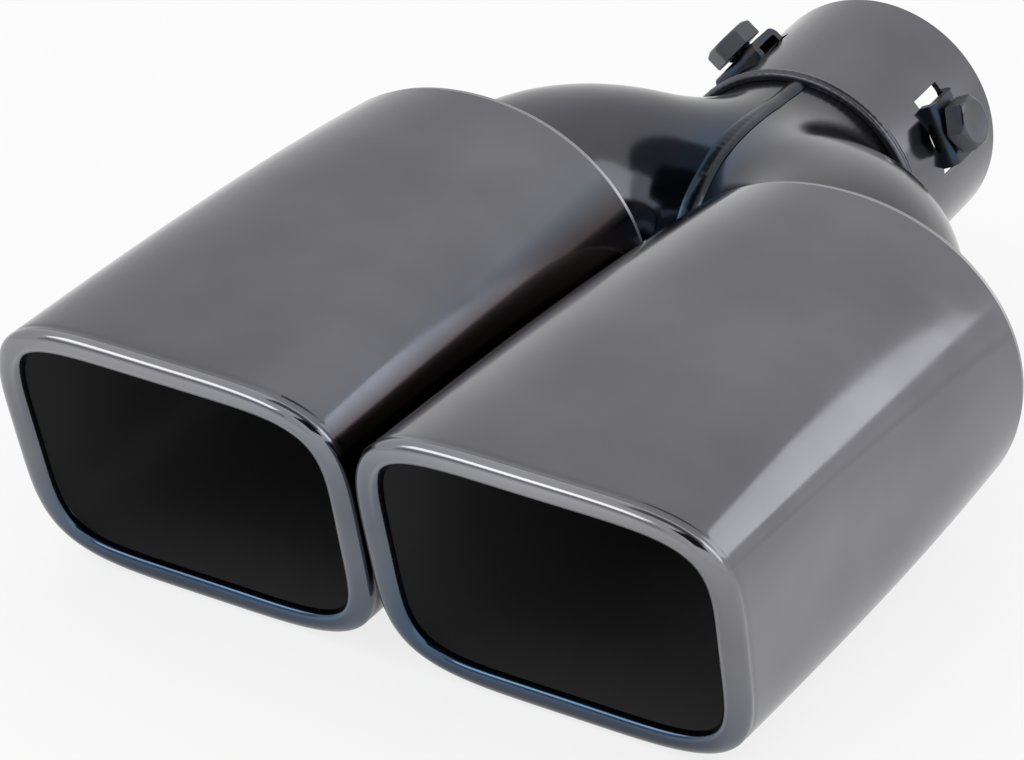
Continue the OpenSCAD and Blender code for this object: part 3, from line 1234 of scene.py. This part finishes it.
@dataclass
class Clamp:
    """One clamp: a folded clip that stands in the collar's slot and a hexagon bolt through it."""

    name: str
    angle_deg: float
    sizes: TipSizes = SIZES
    clip_len: float = 17.5
    clip_w: float = 13.0
    clip_t: float = 2.0
    clip_rise: float = 3.0
    clip_fold: float = 2.6
    clamp_inset: float = 25.0
    notch_r: float = 5.0
    notch_out: float = 2.4
    slot_spare: float = 2.3
    bolt_d: float = 7.9
    head_af: float = 13.0
    head_h: float = 5.3
    bolt_stand: float = 1.0
    bolt_clear: float = 0.05
    clip_clear: float = 0.05
    tip_clear: float = 0.15
    thread_pitch: float = 1.25
    thread_depth: float = 0.55
    tip_bevel: float = 0.5
    # lengths over which the thread's groove runs out at the tip and under the head
    tip_fade: float = 0.8
    head_fade: float = 0.4
    fold_steps: int = 12
    clip_round: float = 0.22
    bolt_around: int = 192
    thread_steps: int = 60
    bolt_sharp_deg: float = 28.0
    chamfer_share: float = 0.93
    chamfer_deg: float = 30.0
    # rounding of the head's underside, of the chamfer's lower edge and of the top's edge
    foot_round: float = 0.25
    shoulder_round: float = 0.2
    shoulder_drop: float = 0.08
    face_round: float = 0.35
    face_drop: float = 0.02
    # the top's sunken middle: share of its radius, and depth
    dish_share: float = 0.9
    dish_depth: float = 0.12
    # how far the cutting tools reach past the wall that they cut
    tool_spare: float = 1.0
    slot_reach: float = 1.5

    @property
    def place(self) -> Matrix:
        """Local frame of the clamp, with +Z out of the collar and +Y back along it."""
        turn = Matrix.Rotation(math.radians(90 - self.angle_deg), 4, "Y")
        return Matrix.Translation((0.0, -self.clamp_inset, 0.0)) @ turn

    @property
    def top(self) -> float:
        """Height of the clip's top over the inlet's axis."""
        return self.sizes.collar_ro + self.clip_rise

    @property
    def leg_end(self) -> float:
        """Height of the legs' ends."""
        return self.sizes.inlet_bore / 2 + self.tip_clear

    def fold(self, half: float, top: float, radius: float, way: Pass) -> list[Station]:
        """One skin of the clip's section as (Y, Z), from its rear leg over the top to its front leg.

        Args:
            half: half of the width.
            top: height of the fold.
            radius: its radius.
            way: direction of the walk.

        Returns:
            The skin.
        """
        points = [(half, self.leg_end)]
        for start, centre in ((0, half - radius), (self.fold_steps, radius - half)):
            for k in range(self.fold_steps + 1):
                turn = math.pi / 2 * (start + k) / self.fold_steps
                points.append((centre + radius * math.cos(turn), top - radius + radius * math.sin(turn)))
        points.append((-half, self.leg_end))
        return points[::way.value]

    def clip(self) -> Piece:
        """Makes the folded and drilled clip.

        Returns:
            The clip.
        """
        half, inner = self.clip_w / 2, self.clip_w / 2 - self.clip_t
        outline = self.fold(half, self.top, self.clip_fold, Pass.FORWARD)
        outline += self.fold(inner, self.top - self.clip_t, self.clip_fold - self.clip_t, Pass.BACK)
        ends = (-self.clip_len / 2, self.clip_len / 2)
        rings = [[self.place @ Vector((x, y, z)) for y, z in outline] for x in ends]
        points, faces = loft(rings)
        count, skin = len(outline), len(outline) // 2
        for base, way in ((0, 1), (count, -1)):
            for k in range(skin - 1):
                quad = (base + k, base + k + 1, base + count - 2 - k, base + count - 1 - k)
                faces.append(quad[::way])
        clip = mesh_piece(f"{self.name}_clip", points, faces)
        carve(clip, [self.drill()])
        soften_edges(clip, self.clip_round)
        return clip

    def drill(self) -> Piece:
        """Makes the tool that drills the clip."""
        radius = self.bolt_d / 2 + self.bolt_clear
        return rod("drill", radius, self.leg_end - self.tool_spare, self.top + self.tool_spare, self.place)

    def head_radius(self, turn: float) -> float:
        """Radius of the hexagon at an angle."""
        return self.head_af / 2 / math.cos((turn + CORNER_TURN) % (2 * CORNER_TURN) - CORNER_TURN)

    def head_rings(self) -> list[Ring]:
        """Rings of the chamfered hexagon head, from its underside to its slightly sunken top.

        Returns:
            The rings.
        """
        base = self.top + self.bolt_stand
        slope = math.tan(math.radians(self.chamfer_deg))
        face_r = self.chamfer_share * self.head_af / 2
        top_r = face_r - self.face_round
        columns = []
        for turn in turns(self.bolt_around, CORNER_TURN):
            corner = self.head_radius(turn)
            shoulder = self.head_h - slope * (corner - face_r)
            stations = ((self.bolt_d / 2, 0.0), (face_r, 0.0), (corner - self.foot_round, 0.0),
                        (corner, self.foot_round), (corner, shoulder - self.shoulder_round),
                        (corner - self.shoulder_round, shoulder + self.shoulder_drop),
                        (face_r, self.head_h - self.face_drop), (top_r, self.head_h),
                        (self.dish_share * top_r, self.head_h - self.dish_depth))
            columns.append([self.place @ polar(radius, turn, base + height) for radius, height in stations])
        return [list(ring) for ring in zip(*columns)]

    def thread_rings(self) -> list[Ring]:
        """Rings of the threaded shank, from its tip to the head.

        Returns:
            The rings.
        """
        start, end = self.leg_end, self.top + self.bolt_stand
        rings = []
        for i in range(self.thread_steps + 1):
            height = mix(start, end, i / self.thread_steps)
            # the groove runs out towards the tip and the head
            fade = min(1.0, (height - start) / self.tip_fade) * min(1.0, (end - height) / self.head_fade)
            core = self.bolt_d / 2 - (self.tip_bevel if i == 0 else 0.0)
            ring = []
            for k, turn in enumerate(turns(self.bolt_around, CORNER_TURN)):
                phase = ((height - start) / self.thread_pitch - k / self.bolt_around) % 1.0
                groove = self.thread_depth * abs(2 * phase - 1) * max(0.0, fade)
                ring.append(self.place @ polar(core - groove, turn, height))
            rings.append(ring)
        return rings

    def bolt(self) -> Piece:
        """Makes the bolt."""
        points, faces = loft([*self.thread_rings(), *self.head_rings()], caps=True)
        return mesh_piece(f"{self.name}_bolt", points, faces, sharp_deg=self.bolt_sharp_deg)

    def openings(self) -> list[Piece]:
        """Makes the tools that cut the clip's slot and its round notch into the collar.

        Returns:
            The two tools.
        """
        half_w = self.clip_w / 2 + self.clip_clear
        half_len = self.clip_len / 2 + self.slot_spare
        low, high = self.sizes.collar_ro / 2, self.sizes.collar_ro + self.slot_reach
        slot = block("slot_tool", (-half_len, -half_w, low), (half_len, half_w, high), self.place)
        shift = Matrix.Translation((0.0, self.notch_r - self.notch_out - half_w, 0.0))
        return [slot, rod("notch_tool", self.notch_r, low, high, self.place @ shift)]

    def build(self, finishes: Finishes) -> None:
        """Makes the clip and the bolt and hands them over.

        Args:
            finishes: the tip's materials.
        """
        hand_over(self.clip(), "tip", [f"clamp_clip_{self.name}"], finishes.clip)
        hand_over(self.bolt(), f"bolt_{self.name}", [f"clamp_bolt_{self.name}"], finishes.bolt)


@dataclass
class InletCollar:
    """The slotted collar, its weld to the Y and its three clamps."""

    sizes: TipSizes = SIZES
    around: int = 256
    bead_r: float = 1.9
    weld_clear: float = 0.1
    ripple_mm: float = 2.3
    ripple_depth: float = 0.12
    bead_drift: Point = (8.0, 1.3, 0.0)
    bead_mean: float = 0.86
    bead_vary: float = 0.08
    # height of the bead over half its width, and the groove's depth, place and width across the bead
    bead_crown: float = 0.75
    groove: Point = (0.3, -0.35, 0.16)
    bead_toe: float = 0.95
    bead_steps: int = 14
    wall_round: float = 0.2
    clamps: list[Clamp] = field(default_factory=lambda: [
        Clamp("right", 27.0), Clamp("left", 143.0), Clamp("under", 265.0)])

    def build(self, finishes: Finishes) -> None:
        """Makes the collar, its weld and its clamps.

        Args:
            finishes: the tip's materials.
        """
        self.build_wall(finishes.collar)
        s = self.sizes
        YPipe().build_ring_weld("collar_bead", "collar_weld", Vector((0.0, -s.collar_len, 0.0)),
                                s.collar_ro + self.weld_clear, self.bead_section, finishes.weld)
        for clamp in self.clamps:
            clamp.build(finishes)

    def build_wall(self, finish: Finish) -> None:
        """Makes the collar's slotted wall.

        Args:
            finish: its material.
        """
        s = self.sizes
        inside, outside = s.inlet_bore / 2, s.collar_ro
        section = ((inside, -s.collar_len), (outside, -s.collar_len), (outside, 0.0), (inside, 0.0))
        rings = [swept(section, Vector(), 0.0, turn) for turn in turns(self.around)]
        points, faces = loft(rings, closed=True)
        wall = mesh_piece("slotted_collar", points, faces)
        carve(wall, [tool for clamp in self.clamps for tool in clamp.openings()])
        soften_edges(wall, self.wall_round)
        inverse = LAY_DOWN.inverted()
        middle = (inside + outside) / 2
        inner = []
        for vertex in wall.data.vertices:
            spot = inverse @ vertex.co
            inner.append(1.0 if math.hypot(spot.x, spot.z) < middle - s.collar_wall / 4 else 0.0)
        store_mask(wall, "inner", inner)
        hand_over(wall, "tip", ["inlet_collar"], finish)

    def bead_section(self, run: float) -> list[Station]:
        """Section of the collar's weld: two low ridges with a groove between them.

        Args:
            run: length along the bead.

        Returns:
            The section, as (out, along Y) pairs.
        """
        ripple = abs(math.sin(math.pi * run / self.ripple_mm))
        size = self.bead_r * (self.bead_mean + self.bead_vary * drift(run, *self.bead_drift))
        size += self.ripple_depth * ripple
        depth, middle, width = self.groove
        section = []
        for k in range(self.bead_steps + 1):
            turn = math.pi * k / self.bead_steps
            rise = self.bead_crown * size * math.sin(turn)
            rise *= 1 - depth * bump_at(math.cos(turn), middle, width)
            section.append((rise, size * math.cos(turn)))
        step, clear = self.sizes.pipe_step, self.weld_clear
        return [*section, (-step, -self.bead_toe * size), (-step, -clear), (0.0, -clear)]


@dataclass(frozen=True)
class Studio:
    """White floor and sky, soft lamps, and the camera of the photograph."""

    focal_px: float = 3967.88
    azimuth_deg: float = 29.16
    elevation_deg: float = 31.29
    roll_deg: float = 0.18
    distance_mm: float = 947.61
    aim_mm: tuple[float, float] = (-164.129, 17.5)
    pan_mm: tuple[float, float] = (19.30, 12.63)
    sensor_mm: float = 36.0
    clip_end: float = 20.0
    # share of the table's white that doesn't take a shadow, as the camera sees it and in reflections
    glow_seen: float = 0.8
    glow_mirrored: float = 0.5
    # brightness of the room on matt surfaces, and of its left and right walls in reflections
    room_light: float = 0.85
    wall_left: float = 0.82
    wall_right: float = 1.0
    # half of the width over which one wall passes into the other, as a share of the room
    wall_blend: float = 0.14
    table_half: float = 3.0
    # point of the tip that the lamps face, in metres
    aim: Point = (0.0, -0.14, 0.0)

    def build(self) -> None:
        """Makes the camera, the floor, the sky and the lamps."""
        self.build_camera()
        self.build_floor()
        self.build_sky()
        self.build_lamps()

    def build_camera(self) -> None:
        """Places the camera as it stood for the photograph."""
        azimuth, elevation = math.radians(self.azimuth_deg), math.radians(self.elevation_deg)
        back = Vector((math.sin(azimuth) * math.cos(elevation), -math.cos(azimuth) * math.cos(elevation),
                       math.sin(elevation)))
        right = Vector((math.cos(azimuth), math.sin(azimuth), 0.0))
        up = back.cross(right)
        roll = math.radians(self.roll_deg)
        level = math.cos(roll) * right + math.sin(roll) * up
        upright = math.cos(roll) * up - math.sin(roll) * right
        target = Vector((0.0, *self.aim_mm))
        spot = target + self.distance_mm * back - self.pan_mm[0] * level - self.pan_mm[1] * upright
        tilt = Matrix.Rotation(REST_TILT, 3, "X")
        turn = Matrix((tilt @ level, tilt @ upright, tilt @ back)).transposed()
        data = bpy.data.cameras.new("photo_camera")
        data.sensor_width = self.sensor_mm
        data.lens = self.focal_px * self.sensor_mm / PHOTO_WIDTH_PX
        data.clip_end = self.clip_end
        camera = add_object("photo_camera", data)
        camera.matrix_world = Matrix.Translation(LAY_DOWN @ spot) @ turn.to_4x4()
        bpy.context.scene.camera = camera

    def build_floor(self) -> None:
        """Lays a white table under the tip."""
        table = rectangle("white_table", self.table_half, self.table_half, CAD_BOX[0][2])
        material, tree = new_material("white_table_paper")
        add = partial(add_node, tree)
        rays = add("LightPath").outputs
        mirrored = add("Math", {0: rays["Is Glossy Ray"], 1: self.glow_mirrored}, operation="MULTIPLY")
        seen = add("Math", {0: rays["Is Camera Ray"], 1: self.glow_seen, 2: mirrored},
                   operation="MULTIPLY_ADD")
        share = add("Math", {0: rays["Is Transmission Ray"], 1: self.glow_seen, 2: seen},
                    operation="MULTIPLY_ADD")
        paper = add("BsdfDiffuse", {"Color": linear("f2f2f2")})
        glow = add("Emission", {"Color": WHITE, "Strength": 1.0})
        add("OutputMaterial", {"Surface": add("MixShader", {0: share, 1: paper, 2: glow})})
        table.data.materials.append(material)

    def build_sky(self) -> None:
        """Surrounds the tip with even light that is white where it is seen."""
        world = bpy.data.worlds.new("white_room")
        world.use_nodes = True
        world.node_tree.nodes.clear()
        add = partial(add_node, world.node_tree)
        rays = add("LightPath").outputs
        seen = add("Math", {0: rays["Is Camera Ray"], 1: rays["Is Transmission Ray"]}, operation="MAXIMUM")
        way = add("TexCoord").outputs["Generated"]
        azimuth = math.radians(self.azimuth_deg)
        rightward = add("VectorMath", {0: way, 1: (math.cos(azimuth), math.sin(azimuth), 0.0)},
                        operation="DOT_PRODUCT")
        walls = add("MapRange", {"Value": rightward, "From Min": -self.wall_blend,
                                 "From Max": self.wall_blend, "To Min": self.wall_left,
                                 "To Max": self.wall_right}, interpolation_type="SMOOTHSTEP")
        mirrored = add("Mix", {"Factor": rays["Is Glossy Ray"], "A": self.room_light, "B": walls})
        strength = add("Mix", {"Factor": seen, "A": mirrored, "B": 1.0})
        add("OutputWorld", {"Surface": add("Background", {"Color": WHITE, "Strength": strength})})
        bpy.context.scene.world = world

    def build_lamps(self) -> None:
        """Hangs the soft lamps and the dark cards that shape the reflections."""
        self.hang_lamp("front_left_softbox", (-0.5, -0.85, 0.85), (1.1, 0.36), 2.7)
        self.hang_lamp("back_right_softbox", (0.62, 0.42, 0.42), (0.5, 0.5), 1.05)
        self.stand_card("ceiling_card", (0.375, 0.075, 0.95), (0.375, 0.075, 0.0), (1.15, 0.55), "6c6d72")
        self.stand_card("corner_card", (0.55, -0.44, 0.67), (0.09, -0.28, 0.05), (0.66, 0.56), "1c1c1e")
        self.stand_card("front_card", (-0.65, -1.5, 0.6), self.aim, (1.6, 0.5), "a8a8ac")

    @staticmethod
    def face(piece: Piece, spot: Point, aim: Point) -> None:
        """Puts a lamp or a card at its spot, in metres, and turns it to the point that it faces."""
        piece.location = spot
        piece.rotation_euler = (Vector(aim) - Vector(spot)).to_track_quat("-Z", "Y").to_euler()

    def stand_card(self, name: str, spot: Point, aim: Point, size: tuple[float, float], tone: str) -> None:
        """Stands a dark card that is only seen in reflections.

        Args:
            name: name of the card.
            spot: its centre, in metres.
            aim: the point that it faces.
            size: its width and height, in metres.
            tone: its colour, as sRGB hex.
        """
        card = rectangle(name, size[0] / 2, size[1] / 2, 0.0)
        self.face(card, spot, aim)
        card.visible_camera = False
        card.visible_diffuse = False
        card.visible_shadow = False
        material, tree = new_material(f"{name}_felt")
        felt = add_node(tree, "Emission", {"Color": linear(tone), "Strength": 1.0})
        add_node(tree, "OutputMaterial", {"Surface": felt})
        card.data.materials.append(material)

    def hang_lamp(self, name: str, spot: Point, size: tuple[float, float], power: float) -> None:
        """Hangs one soft lamp that faces the tip.

        Args:
            name: name of the lamp.
            spot: its place, in metres.
            size: its width and height, in metres.
            power: its power, in watts.
        """
        data = bpy.data.lights.new(name, "AREA")
        data.shape = "RECTANGLE"
        data.size, data.size_y = size
        data.energy = power
        self.face(add_object(name, data), spot, self.aim)


def main() -> None:
    """Builds the tip's pieces, the studio and the camera."""
    logging.basicConfig(level=logging.INFO, format="%(name)s: %(message)s")
    bpy.context.scene.view_settings.view_transform = "Standard"
    finishes = Finishes.mixed()
    for side in Side:
        OutletShell(side, **PAINTED_SHEENS[side]).build(finishes)
    YPipe().build(finishes)
    InletCollar().build(finishes)
    Studio().build()


if __name__ == "__main__":
    main()
